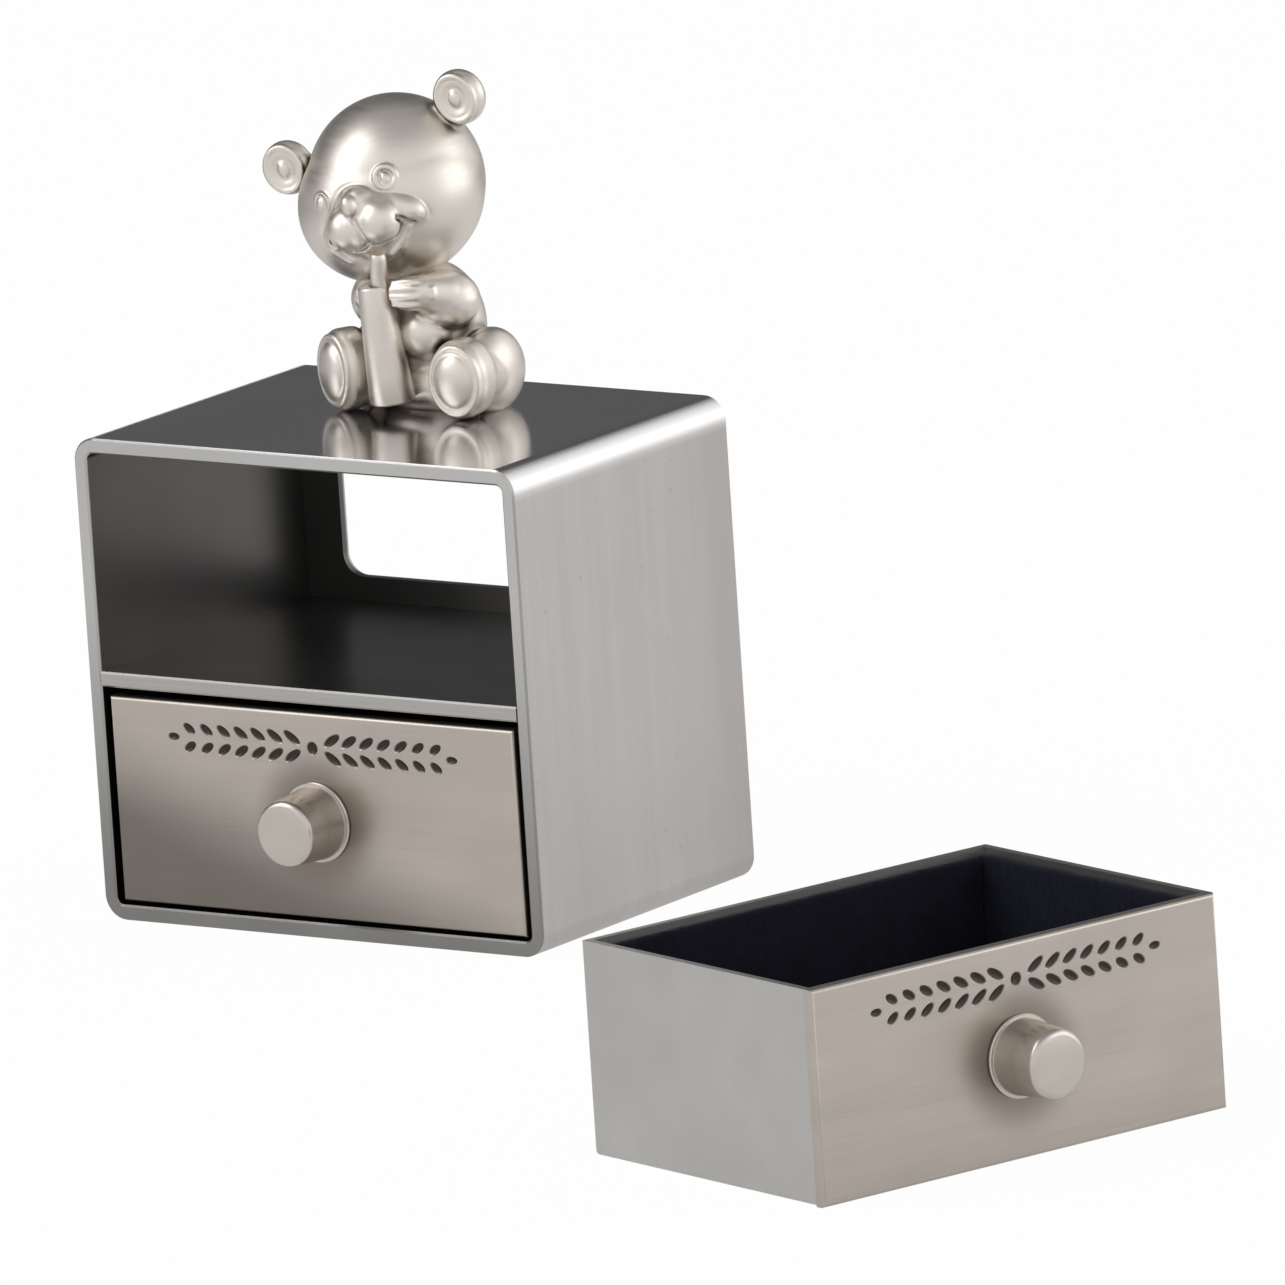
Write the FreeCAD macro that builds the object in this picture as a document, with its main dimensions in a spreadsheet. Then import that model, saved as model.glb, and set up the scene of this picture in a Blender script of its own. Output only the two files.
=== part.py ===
import FreeCAD, Part
import Sketcher
import math
import os
import re

# Keepsake box for a first tooth and a first curl: a metal cabinet with two lined drawers,
# carrying a seated bear that drinks from a bottle. Millimetres, +Z up, front towards -Y,
# origin at the middle of the face that the cabinet stands on.
os.makedirs("parts", exist_ok=True)
doc = FreeCAD.newDocument("tooth_box")

SIZES = {
    # cabinet: one rounded tube, a shelf across it and a panel across its back
    "cabinet_width": 55.0,
    "cabinet_depth": 38.0,
    "cabinet_height": 50.5,
    "side_wall": 1.5,
    "deck_wall": 1.6,
    "shelf_wall": 1.6,
    "back_wall": 1.0,
    "outer_round": 2.5,
    "inner_round": 0.8,
    "panel_corner_ease": 0.1,
    "rim_ease": 0.2,
    "window_side_lip": 4.6,
    "window_end_lip": 2.6,
    "window_round": 2.4,
    # drawer: folded tray behind a front plate, with the room that it keeps in its compartment
    "drawer_side_clearance": 0.7,
    "drawer_top_clearance": 0.9,
    "drawer_back_clearance": 1.2,
    "front_wall": 1.2,
    "front_edge_ease": 0.25,
    "tray_wall": 0.8,
    "tray_fold": 0.6,
    "run_clearance": 0.35,
    "front_recess": 0.2,
    # velvet lining of a drawer
    "lining_wall": 0.9,
    "pad_thickness": 1.3,
    "lining_drop": 0.6,
    "lining_gap": 0.05,
    # knob of a drawer and the screw that holds it from inside
    "knob_height_above_base": 10.2,
    "knob_flange_radius": 4.2,
    "knob_flange_thickness": 0.4,
    "knob_root_radius": 3.8,
    "knob_face_radius": 3.45,
    "knob_length": 6.0,
    "knob_edge_ease": 0.7,
    "knob_screw_radius": 1.0,
    "knob_screw_head_radius": 1.8,
    "knob_screw_reach": 4.0,
    "screw_tip_room": 0.5,
    "screw_clearance": 0.05,
    # tooth drawer as it stands in front of the cabinet: middle of its front's lower edge
    "tooth_drawer_right": 123.0,
    "tooth_drawer_forward": 73.5,
    "tooth_drawer_turn": 73.0,
    # bear: place on the deck, then sizes of the figure
    "bear_right": 0.4,
    "bear_back": 8.0,
    "torso_radius": 5.5,
    "torso_half_height": 6.85,
    "torso_left": 0.4,
    "torso_forward": 1.0,
    "torso_height": 8.2,
    "neck_radius": 2.0,
    "lap_radius": 5.6,
    "lap_height": 3.0,
    "thigh_radius": 4.4,
    "thigh_half_height": 4.5,
    "thigh_spread": 5.5,
    "thigh_forward": 1.6,
    "thigh_height": 4.0,
    "foot_radius": 3.65,
    "foot_half_height": 4.6,
    "foot_forward": 5.4,
    "foot_height": 4.5,
    "left_foot_right": 7.0,
    "right_foot_right": -7.75,
    "left_foot_turn": 4.0,
    "right_foot_turn": -24.0,
    "sole_radius": 2.9,
    "sole_reach": 3.3,
    "sole_pad_radius": 2.0,
    "sole_pad_rise": 0.4,
    "sole_edge_ease": 0.4,
    "elbow_radius": 3.1,
    "elbow_forward": 3.9,
    "left_elbow_right": 3.6,
    "right_elbow_right": -4.6,
    "left_elbow_height": 11.7,
    "right_elbow_height": 11.3,
    "forearm_radius": 2.4,
    "hand_radius": 1.75,
    "hand_forward": 7.2,
    "left_hand_right": 1.2,
    "right_hand_right": -3.85,
    "left_hand_height": 12.75,
    "right_hand_height": 12.3,
    "tail_radius": 1.6,
    "tail_back": 4.6,
    "tail_height": 3.0,
    # head of the bear, in a frame that is turned and tilted with the face
    "head_right": -4.3,
    "head_forward": 0.6,
    "head_height": 22.9,
    "head_turn": 10.0,
    "head_tilt": 21.9,
    "skull_radius": 9.6,
    "skull_half_height": 9.4,
    "skull_left": 0.3,
    "skull_forward": 0.2,
    "skull_drop": 0.6,
    "left_ear_right": 10.45,
    "right_ear_right": -10.9,
    "ear_rise": 5.4,
    "ear_back": 0.5,
    "ear_radius": 2.9,
    "ear_half_depth": 1.5,
    "ear_rim_width": 0.75,
    "ear_rim_ease": 0.35,
    "ear_dish_depth": 0.8,
    "ear_button_radius": 1.3,
    "ear_button_sink": 0.2,
    "ear_root_radius": 2.5,
    "muzzle_radius": 3.8,
    "muzzle_half_height": 3.3,
    "muzzle_forward": 7.4,
    "muzzle_drop": 2.6,
    "bridge_radius": 2.4,
    "bridge_half_height": 2.1,
    "bridge_forward": 8.5,
    "bridge_drop": 0.5,
    "cheek_radius": 2.3,
    "cheek_spread": 3.9,
    "cheek_forward": 6.6,
    "cheek_drop": 3.2,
    "lobe_radius": 2.3,
    "lobe_half_height": 2.6,
    "lobe_spread": 1.9,
    "lobe_forward": 9.3,
    "lobe_drop": 2.6,
    "nose_radius": 0.9,
    "nose_half_height": 1.15,
    "nose_forward": 11.1,
    "nose_drop": 0.3,
    "eye_radius": 0.65,
    "eye_half_height": 0.9,
    "eye_spread": 3.65,
    "eye_forward": 8.75,
    "eye_rise": 0.75,
    "neck_clearance": 0.02,
    # bottle, leaning to the mouth, and the teat on it
    "bottle_right": -1.26,
    "bottle_forward": 7.6,
    "bottle_up": 1.46,
    "bottle_lean_left": 3.4,
    "bottle_lean_forward": 4.6,
    "bottle_foot_radius": 2.38,
    "bottle_neck_radius": 1.68,
    "bottle_height": 12.4,
    "bottle_edge_ease": 0.3,
    "teat_right": -1.6,
    "teat_forward": 8.3,
    "teat_up": 13.2,
    "teat_radius": 0.95,
    "teat_tip_radius": 0.8,
    "mouth_right": -0.7,
    "mouth_forward": 9.4,
    "mouth_up": 17.5,
    # countersunk screws that hold the bear from below
    "bear_screw_spread": 3.2,
    "bear_screw_back": 0.6,
    "bear_screw_radius": 1.2,
    "bear_screw_head_radius": 2.2,
    "bear_screw_reach": 5.0,
    # length by which cutting shapes run past what they cut
    "overrun": 1.0,
}

sheet = doc.addObject("Spreadsheet::Sheet", "Sizes")
for row, (alias, value) in enumerate(SIZES.items(), start=1):
    sheet.set("A%d" % row, alias)
    sheet.set("B%d" % row, str(value))
    sheet.setAlias("B%d" % row, alias)
doc.recompute()

RIGHT = FreeCAD.Vector(1, 0, 0)
BACK = FreeCAD.Vector(0, 1, 0)
UP = FreeCAD.Vector(0, 0, 1)
NO_TURN = FreeCAD.Rotation()


def formula(text):
    """Expression in which each word that names a size becomes its cell."""
    return re.sub(r"\w+", lambda word: "Sizes." * (word.group() in SIZES) + word.group(), text)


def value_of(text):
    """Number that a formula gives with the sheet's present values."""
    return float(sheet.evalExpression(formula(text)))


def bind(obj, **formulas):
    """Ties properties of an object to the sheet."""
    for prop, text in formulas.items():
        obj.setExpression(prop, formula(text))
    return obj


def place(obj, right="0", back="0", up="0", rotation=NO_TURN):
    """Turns an object and ties its place to the sheet."""
    obj.Placement = FreeCAD.Placement(FreeCAD.Vector(), rotation)
    for axis, text in (("x", right), ("y", back), ("z", up)):
        obj.setExpression("Placement.Base." + axis, formula(text))
    return obj


def solid(kind, name, formulas, right="0", back="0", up="0", rotation=NO_TURN):
    """Part primitive with its sizes and its place tied to the sheet."""
    return place(bind(doc.addObject("Part::" + kind, name), **formulas), right, back, up, rotation)


def join(kind, name, **links):
    """Boolean or group of other objects."""
    obj = doc.addObject("Part::" + kind, name)
    for prop, value in links.items():
        setattr(obj, prop, value)
    return obj


def new_body(label):
    body = doc.addObject("PartDesign::Body", label)
    body.Label = label
    return body


def outline(body, name, role, corners, lift="0"):
    """Sketch of straight lines on an origin plane of the body, lifted along its normal."""
    sketch = body.newObject("Sketcher::SketchObject", name)
    plane = [item for item in body.Origin.OriginFeatures if item.Role == role][0]
    sketch.AttachmentSupport = [(plane, "")]
    sketch.MapMode = "FlatFace"
    sketch.setExpression("AttachmentOffset.Base.z", formula(lift))
    points = [FreeCAD.Vector(value_of(across), value_of(along), 0) for across, along in corners]
    for start, end in zip(points, points[1:] + points[:1]):
        sketch.addGeometry(Part.LineSegment(start, end), False)
    for index, (across, along) in enumerate(corners):
        after = (index + 1) % len(corners)
        sketch.addConstraint(Sketcher.Constraint("Coincident", index, 2, after, 1))
        for kind, text in (("DistanceX", across), ("DistanceY", along)):
            tie = Sketcher.Constraint(kind, -1, 1, index, 1, value_of(text))
            number = sketch.addConstraint(tie)
            sketch.setExpression("Constraints[%d]" % number, formula(text))
    return sketch


def rectangle(left, low, right, high):
    return [(left, low), (right, low), (right, high), (left, high)]


def pad(body, name, sketch, length, **settings):
    feature = body.newObject("PartDesign::Pad", name)
    feature.Profile = sketch
    for prop, value in settings.items():
        setattr(feature, prop, value)
    return bind(feature, Length=length)


def pocket(body, name, sketch, **settings):
    """Cut right through; the volume has to fall."""
    doc.recompute()
    before = body.Shape.Volume
    feature = body.newObject("PartDesign::Pocket", name)
    feature.Profile = sketch
    feature.Type = "ThroughAll"
    for prop, value in settings.items():
        setattr(feature, prop, value)
    doc.recompute()
    if not body.Shape.Volume < before:
        raise RuntimeError(name + " cuts nothing")
    return feature


def revolve(body, name, sketch, axis):
    feature = body.newObject("PartDesign::Revolution", name)
    feature.Profile = sketch
    feature.ReferenceAxis = (sketch, [axis])
    return feature


def ease_edges(body, name, size, chosen, kind="Fillet", measure="Radius"):
    """Fillet or chamfer of the tip's edges that a test on their middle and direction picks."""
    doc.recompute()
    tip = body.Tip
    names = []
    for number, edge in enumerate(tip.Shape.Edges, start=1):
        middle = edge.valueAt((edge.FirstParameter + edge.LastParameter) / 2)
        if chosen(edge, middle):
            names.append("Edge%d" % number)
    feature = body.newObject("PartDesign::" + kind, name)
    feature.Base = (tip, names)
    bind(feature, **{measure: size})
    doc.recompute()
    return feature


def runs_along(edge, axis):
    """True for a straight edge parallel to an axis."""
    ends = edge.Vertexes
    if len(ends) < 2:
        return False
    span = ends[1].Point - ends[0].Point
    return abs(span.dot(axis)) > edge.Length * STRAIGHT_SHARE


def near(first, second):
    """True for two lengths that differ by no more than rounding."""
    return abs(first - second) < value_of("cabinet_width") * SMALL_SHARE


STRAIGHT_SHARE = 0.999
SMALL_SHARE = 0.001
nodes = []

# Cabinet shell: one tube, rounded along its four long edges and open at front and back.
inside = "( cabinet_width / 2 - side_wall )"
ceiling = "( cabinet_height - deck_wall )"
shell = new_body("cabinet_shell")
outer = rectangle("0 - cabinet_width / 2", "0", "cabinet_width / 2", "cabinet_height")
pad(shell, "shell_block", outline(shell, "shell_outline", "XZ_Plane", outer), "cabinet_depth",
    Midplane=True)
ease_edges(shell, "shell_rounds", "outer_round", lambda edge, middle: runs_along(edge, BACK))
bore = rectangle("0 - " + inside, "deck_wall", inside, ceiling)
pocket(shell, "shell_bore", outline(shell, "bore_outline", "XZ_Plane", bore), Midplane=True)
half_inside = value_of(inside)
ease_edges(shell, "bore_rounds", "inner_round",
           lambda edge, middle: runs_along(edge, BACK) and near(abs(middle.x), half_inside))
half_depth = value_of("cabinet_depth / 2")
ease_edges(shell, "rim_bevels", "rim_ease", lambda edge, middle: near(abs(middle.y), half_depth)
           and not runs_along(edge, BACK), "Chamfer", "Size")
nodes.append(shell)

# Countersunk screw, standing on its flat head and pointing up.
head_of = "( {0}_head_radius - {0}_radius )"


def screw(name, prefix, length):
    head = solid("Cone", name + "_head", {"Radius1": prefix + "_head_radius",
                 "Radius2": prefix + "_radius", "Height": head_of.format(prefix)})
    shank = solid("Cylinder", name + "_shank", {"Radius": prefix + "_radius", "Height": length})
    return join("Fuse", name, Base=head, Tool=shank)


def screw_hole(body, name, prefix, length, right, back, up, rotation=NO_TURN):
    """Clearance hole with a countersink for such a screw, cut out of a body."""
    wide = prefix + "_head_radius + screw_clearance"
    slim = prefix + "_radius + screw_clearance"
    sink = body.newObject("PartDesign::SubtractiveCone", name + "_sink")
    place(bind(sink, Radius1=wide, Radius2=slim, Height=head_of.format(prefix)),
          right, back, up, rotation)
    hole = body.newObject("PartDesign::SubtractiveCylinder", name + "_hole")
    place(bind(hole, Radius=slim, Height=length), right, back, up, rotation)


bear_frame = {"right": "bear_right", "back": "bear_back", "up": "cabinet_height"}
bear_screw_length = "deck_wall + bear_screw_reach"
bear_screws = []
for side, sign in (("left", "-"), ("right", "+")):
    right = "bear_right %s bear_screw_spread" % sign
    back = "bear_back + bear_screw_back"
    screw_hole(shell, "deck_%s" % side, "bear_screw", bear_screw_length, right, back, ceiling)
    fastener = screw("bear_screw_" + side, "bear_screw", bear_screw_length)
    bear_screws.append(place(fastener, right, back, ceiling))
screws = join("Compound", "bear_screws", Links=bear_screws)
screws.Label = "bear_screws"
nodes.append(screws)

# Shelf: flat plate across the tube at half height, level with the front rim.
opening = "( ( cabinet_height - 2 * deck_wall - shelf_wall ) / 2 )"
shelf = new_body("shelf")
plan = rectangle("0 - " + inside, "0 - cabinet_depth / 2", inside, "cabinet_depth / 2 - back_wall")
pad(shelf, "shelf_plate", outline(shelf, "shelf_outline", "XY_Plane", plan), "shelf_wall")
ease_edges(shelf, "shelf_bevels", "rim_ease",
           lambda edge, middle: runs_along(edge, RIGHT) and near(middle.y, -half_depth),
           "Chamfer", "Size")
place(shelf, up="deck_wall + " + opening)
nodes.append(shelf)

# Back panel: plate inside the rear end of the tube, with a rounded window behind each drawer.
panel = new_body("back_panel")
whole = rectangle("0 - " + inside, "deck_wall", inside, ceiling)
pad(panel, "panel_plate", outline(panel, "panel_outline", "XZ_Plane", whole), "back_wall")
ease_edges(panel, "panel_corners", "inner_round + panel_corner_ease",
           lambda edge, middle: runs_along(edge, BACK))
window_half = "( %s - window_side_lip )" % inside
for level, floor in (("lower", "deck_wall"), ("upper", "deck_wall + %s + shelf_wall" % opening)):
    low = floor + " + window_end_lip"
    high = floor + " + %s - window_end_lip" % opening
    window = rectangle("0 - " + window_half, low, window_half, high)
    pocket(panel, level + "_window", outline(panel, level + "_frame", "XZ_Plane", window),
           Midplane=True)
half_window = value_of(window_half)
ease_edges(panel, "window_corners", "window_round",
           lambda edge, middle: runs_along(edge, BACK) and near(abs(middle.x), half_window))
place(panel, back="cabinet_depth / 2")
nodes.append(panel)


def seat(obj, frame, above="0"):
    """Moves a piece from its drawer's own frame to where that drawer stands."""
    place(obj, frame["right"], frame["back"], frame["up"] + " + " + above)
    obj.setExpression("Placement.Rotation.Yaw", formula(frame["turn"]))
    nodes.append(obj)


BEVEL_SHARE = 0.3


def drawer(name, frame):
    """One drawer; its frame has its origin in the middle of its front's lower edge."""
    half = "( %s - drawer_side_clearance )" % inside
    height = "( %s - run_clearance - drawer_top_clearance )" % opening
    length = "( cabinet_depth - back_wall - front_recess - drawer_back_clearance )"
    knob_up = "knob_height_above_base"
    screw_length = "( front_wall + knob_screw_reach )"
    into_plate = FreeCAD.Rotation(RIGHT, 90)

    # Front plate, with eased edges and a countersunk hole for the knob's screw.
    front = new_body(name + "_front_plate")
    face = rectangle("0 - " + half, "0", half, height)
    pad(front, name + "_plate", outline(front, name + "_face", "XZ_Plane", face), "front_wall",
        Reversed=True)
    ease_edges(front, name + "_plate_rounds", "front_edge_ease",
               lambda edge, middle: near(middle.y, 0))
    screw_hole(front, name + "_plate", "knob_screw", screw_length, "0", "front_wall", knob_up,
               into_plate)
    seat(front, frame)

    # Tray of thin sheet: floor, two sides and back, with folded lower edges.
    tray = new_body(name + "_tray")
    plan = rectangle("0 - " + half, "front_wall", half, length)
    pad(tray, name + "_block", outline(tray, name + "_plan", "XY_Plane", plan), height)
    hollow = rectangle("0 - ( %s - tray_wall )" % half, "front_wall - overrun",
                       "%s - tray_wall" % half, length + " - tray_wall")
    pocket(tray, name + "_hollow",
           outline(tray, name + "_hollow_plan", "XY_Plane", hollow, "tray_wall"), Reversed=True)
    outside = value_of(half)
    ease_edges(tray, name + "_folds", "tray_fold", lambda edge, middle: runs_along(edge, BACK)
               and near(abs(middle.x), outside) and near(middle.z, 0))
    seat(tray, frame)

    # Knob: turned, slightly tapered, eased at its face, on a thin flange, bored for its screw.
    knob = new_body(name + "_knob")
    hole = "knob_screw_radius + screw_clearance"
    depth = "0 - knob_screw_reach - screw_tip_room"
    profile = [(hole, "0"), ("knob_flange_radius", "0"),
               ("knob_flange_radius", "0 - knob_flange_thickness"),
               ("knob_root_radius", "0 - knob_flange_thickness"),
               ("knob_face_radius", "knob_edge_ease - knob_length"),
               ("knob_face_radius - knob_edge_ease * %g" % BEVEL_SHARE,
                "knob_edge_ease * %g - knob_length" % BEVEL_SHARE),
               ("knob_face_radius - knob_edge_ease", "0 - knob_length"), ("0", "0 - knob_length"),
               ("0", depth), (hole, depth)]
    revolve(knob, name + "_turning", outline(knob, name + "_profile", "XY_Plane", profile), "V_Axis")
    seat(knob, frame, knob_up)

    # Screw of the knob, flush with the inside of the front plate.
    fastener = screw(name + "_fastener", "knob_screw", screw_length)
    place(fastener, back="front_wall", rotation=into_plate)
    held = join("Compound", name + "_knob_screw", Links=[fastener])
    seat(held, frame, knob_up)

    # Lining: a pad on the floor, strips along the sides and strips across the ends.
    inner = "( %s - tray_wall - lining_gap )" % half
    strip_height = height + " - lining_drop - tray_wall - lining_gap"
    start = "( front_wall + lining_gap )"
    stop = "( %s - tray_wall - lining_gap )" % length
    floor = "tray_wall + lining_gap"
    between = "( %s - lining_wall - lining_gap )" % inner
    side_strips = []
    for side, low in (("left", "0 - " + inner), ("right", inner + " - lining_wall")):
        strip = {"Length": "lining_wall", "Width": stop + " - " + start, "Height": strip_height}
        side_strips.append(solid("Box", "%s_%s_strip" % (name, side), strip, low, start, floor))
    seat(join("Compound", name + "_side_linings", Links=side_strips), frame)
    end_strips = []
    for end, low in (("front", start), ("back", stop + " - lining_wall")):
        strip = {"Length": "2 * " + between, "Width": "lining_wall", "Height": strip_height}
        end_strips.append(solid("Box", "%s_%s_strip" % (name, end), strip, "0 - " + between, low, floor))
    seat(join("Compound", name + "_end_linings", Links=end_strips), frame)
    pad_body = new_body(name + "_floor_pad")
    low = start + " + lining_wall + lining_gap"
    high = stop + " - lining_wall - lining_gap"
    plan = rectangle("0 - " + between, low, between, high)
    pad(pad_body, name + "_pad", outline(pad_body, name + "_pad_plan", "XY_Plane", plan, floor),
        "pad_thickness")
    top_at = value_of(floor + " + pad_thickness")
    ease_edges(pad_body, name + "_pad_round", "pad_thickness / 2",
               lambda edge, middle: near(middle.z, top_at))
    seat(pad_body, frame)


drawer("curl_drawer", {"right": "0", "back": "0 - cabinet_depth / 2 + front_recess",
                       "up": "deck_wall + run_clearance", "turn": "0"})
drawer("tooth_drawer", {"right": "tooth_drawer_right", "back": "0 - tooth_drawer_forward",
                        "up": "0", "turn": "tooth_drawer_turn"})


# Bear: a seated figure, made in a frame that stands on the deck and faces the front. Its rounded
# forms are ruled lofts through level polygons, so that they need few facets.
SMALL_SIDES = 16
ROUND_SIDES = 20
LARGE_SIDES = 24
FACING = FreeCAD.Rotation(RIGHT, 90)


def stack(name, rings, where, sides=SMALL_SIDES):
    """Ruled loft through regular polygons, each with its radius and its height."""
    polygons = []
    for number, (radius, height) in enumerate(rings):
        polygon = doc.addObject("Part::RegularPolygon", "%s_ring_%d" % (name, number))
        polygon.Polygon = sides
        polygons.append(place(bind(polygon, Circumradius=radius), up=height))
    form = join("Loft", name, Sections=polygons, Solid=True, Ruled=True, Linearize=True)
    return place(form, *where)


def egg(name, radius, half_height, where, sides=SMALL_SIDES):
    """Ball that is stretched or pressed along its upright axis."""
    step = 2 * math.pi / sides
    rings = []
    for number in range(sides // 2):
        angle = step * (number + 0.5) - math.pi / 2
        wide_share = math.cos(angle) / math.cos(step / 2)
        high_share = math.sin(angle) / math.cos(step / 2)
        rings.append(("( %s ) * %g" % (radius, wide_share), "( %s ) * %g" % (half_height, high_share)))
    return stack(name, rings, where, sides)


def bar(name, start, end, start_radius, end_radius):
    """Tapered round bar between two places."""
    squares = ["( ( %s ) - ( %s ) ) ^ 2" % pair for pair in zip(start, end)]
    ends = [FreeCAD.Vector(*[value_of(text) for text in spot]) for spot in (start, end)]
    rings = [(start_radius, "0"), (end_radius, "sqrt(%s)" % " + ".join(squares))]
    return stack(name, rings, start + (FreeCAD.Rotation(UP, ends[1] - ends[0]),))


lean = FreeCAD.Rotation(RIGHT, value_of("bottle_lean_forward")).multiply(
    FreeCAD.Rotation(BACK, -value_of("bottle_lean_left")))
bottle_foot = ("bottle_right", "0 - bottle_forward", "bottle_up", lean)
teat_ends = (("teat_right", "0 - teat_forward", "teat_up"),
             ("mouth_right", "0 - mouth_forward", "mouth_up"))
tilt = FreeCAD.Rotation(UP, value_of("head_turn")).multiply(
    FreeCAD.Rotation(BACK, -value_of("head_tilt")))
head_frame = ("head_right", "0 - head_forward", "head_height", tilt)
skull_centre = ("0 - skull_left", "0 - skull_forward", "0 - skull_drop")


def teat_room(name):
    """Room that the teat takes out of what it touches."""
    return bar(name, *teat_ends, "teat_radius + neck_clearance", "teat_tip_radius + neck_clearance")


torso_centre = ("0 - torso_left", "0 - torso_forward", "torso_height")
figure = [egg("torso", "torso_radius", "torso_half_height", torso_centre, LARGE_SIDES),
          bar("neck", torso_centre, head_frame[:3], "neck_radius", "neck_radius"),
          stack("lap", [("lap_radius", "0"), ("lap_radius", "lap_height")], ("0", "0 - torso_forward"),
                LARGE_SIDES),
          egg("tail", "tail_radius", "tail_radius", ("0", "tail_back", "tail_height"))]
for side, sign in (("left", "0 + "), ("right", "0 - ")):
    thigh = (sign + "thigh_spread", "0 - thigh_forward", "thigh_height")
    figure.append(egg(side + "_thigh", "thigh_radius", "thigh_half_height", thigh, ROUND_SIDES))
    foot = (side + "_foot_right", "0 - foot_forward", "foot_height")
    figure.append(egg(side + "_foot", "foot_radius", "foot_half_height", foot, ROUND_SIDES))
    turn = FreeCAD.Rotation(UP, value_of(side + "_foot_turn")).multiply(FACING)
    for zone, radius, reach in (("sole", "sole_radius", "sole_reach"),
                                ("pad", "sole_pad_radius", "sole_reach + sole_pad_rise")):
        rings = [(radius, "0"), (radius, reach + " - sole_edge_ease"),
                 (radius + " - sole_edge_ease", reach)]
        figure.append(stack("%s_%s" % (side, zone), rings, foot + (turn,), ROUND_SIDES))
    elbow = (side + "_elbow_right", "0 - elbow_forward", side + "_elbow_height")
    hand = (side + "_hand_right", "0 - hand_forward", side + "_hand_height")
    figure.append(egg(side + "_elbow", "elbow_radius", "elbow_radius", elbow, ROUND_SIDES))
    figure.append(egg(side + "_hand", "hand_radius", "hand_radius", hand))
    figure.append(bar(side + "_forearm", elbow, hand, "forearm_radius", "hand_radius"))
cup = egg("neck_cup", "skull_radius + neck_clearance", "skull_half_height + neck_clearance",
          skull_centre, LARGE_SIDES)
held = {"Radius1": "bottle_foot_radius + neck_clearance",
        "Radius2": "bottle_neck_radius + neck_clearance", "Height": "bottle_height"}
room = [place(join("Compound", "head_seat", Links=[cup]), *head_frame),
        solid("Cone", "bottle_seat", held, *bottle_foot), teat_room("held_teat"),
        solid("Box", "below_deck", {"Length": "2 * cabinet_width", "Width": "2 * cabinet_width",
              "Height": "cabinet_height"}, "0 - cabinet_width", "0 - cabinet_width",
              "0 - cabinet_height")]
for side, sign in (("left", "-"), ("right", "+")):
    bore = {"Radius": "bear_screw_radius + screw_clearance",
            "Height": "bear_screw_reach + screw_tip_room"}
    room.append(solid("Cylinder", side + "_screw_bore", bore, "0 %s bear_screw_spread" % sign,
                      "bear_screw_back", "0"))
bear_body = join("Cut", "bear_body", Base=join("MultiFuse", "figure", Shapes=figure),
                 Tool=join("MultiFuse", "figure_room", Shapes=room))
nodes.append(place(bear_body, **bear_frame))

# Head: skull with dished ears, a muzzle with two lobes, a bridge, cheeks, nose and eyes.
EAR_BACK_SHARE = 0.6
EAR_ROOT_SHARE = 0.8
features = [egg("skull", "skull_radius", "skull_half_height", skull_centre, LARGE_SIDES),
            egg("muzzle", "muzzle_radius", "muzzle_half_height",
                ("0", "0 - muzzle_forward", "0 - muzzle_drop"), ROUND_SIDES),
            egg("bridge", "bridge_radius", "bridge_half_height",
                ("0", "0 - bridge_forward", "0 - bridge_drop")),
            egg("nose", "nose_radius", "nose_half_height", ("0", "0 - nose_forward", "0 - nose_drop"))]
for side, sign in (("left", "0 + "), ("right", "0 - ")):
    features.append(egg(side + "_cheek", "cheek_radius", "cheek_radius",
                        (sign + "cheek_spread", "0 - cheek_forward", "0 - cheek_drop")))
    features.append(egg(side + "_lobe", "lobe_radius", "lobe_half_height",
                        (sign + "lobe_spread", "0 - lobe_forward", "0 - lobe_drop")))
    features.append(egg(side + "_eye", "eye_radius", "eye_half_height",
                        (sign + "eye_spread", "0 - eye_forward", "eye_rise")))
    ear = (side + "_ear_right", "ear_back", "ear_rise")
    root = ["( %s ) * %g" % (text, EAR_ROOT_SHARE) for text in ear]
    dish = "ear_radius - ear_rim_width"
    floor = "ear_half_depth - ear_dish_depth"
    disc = stack(side + "_ear_disc", [("ear_radius * %g" % EAR_BACK_SHARE, "0 - ear_half_depth"),
                                      ("ear_radius", "0"),
                                      ("ear_radius", "ear_half_depth - ear_rim_ease"),
                                      ("ear_radius - ear_rim_ease", "ear_half_depth")], ear + (FACING,))
    hollow = stack(side + "_ear_dish", [(dish + " - ear_rim_ease", floor), (dish, "ear_half_depth"),
                                        (dish, "ear_half_depth + overrun")], ear + (FACING,))
    whole = join("Fuse", side + "_ear_form", Base=disc,
                 Tool=egg(side + "_ear_root", "ear_root_radius", "ear_root_radius", root))
    features.append(join("Cut", side + "_ear", Base=whole, Tool=hollow))
    features.append(stack(side + "_ear_button", [("ear_button_radius", "0"), ("ear_button_radius", floor),
                                                 ("ear_button_radius * %g" % EAR_BACK_SHARE,
                                                  "ear_half_depth - ear_button_sink")],
                          ear + (FACING,)))
head = place(join("MultiFuse", "head_form", Shapes=features), *head_frame)
bear_head = join("Cut", "bear_head", Base=head, Tool=teat_room("sipped_teat"))
nodes.append(place(bear_head, **bear_frame))

# Bottle: turned and tapered, held between the hands, with a teat that bends to the mouth.
bottle = new_body("bottle_form")
profile = [("0", "0"), ("bottle_foot_radius", "0"),
           ("bottle_neck_radius", "bottle_height - bottle_edge_ease"),
           ("bottle_neck_radius - bottle_edge_ease", "bottle_height"), ("0", "bottle_height")]
revolve(bottle, "bottle_turning", outline(bottle, "bottle_profile", "XZ_Plane", profile), "V_Axis")
place(bottle, *bottle_foot)
teat = bar("teat", *teat_ends, "teat_radius", "teat_tip_radius")
nodes.append(place(join("Fuse", "bear_bottle", Base=bottle, Tool=teat), **bear_frame))

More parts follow.
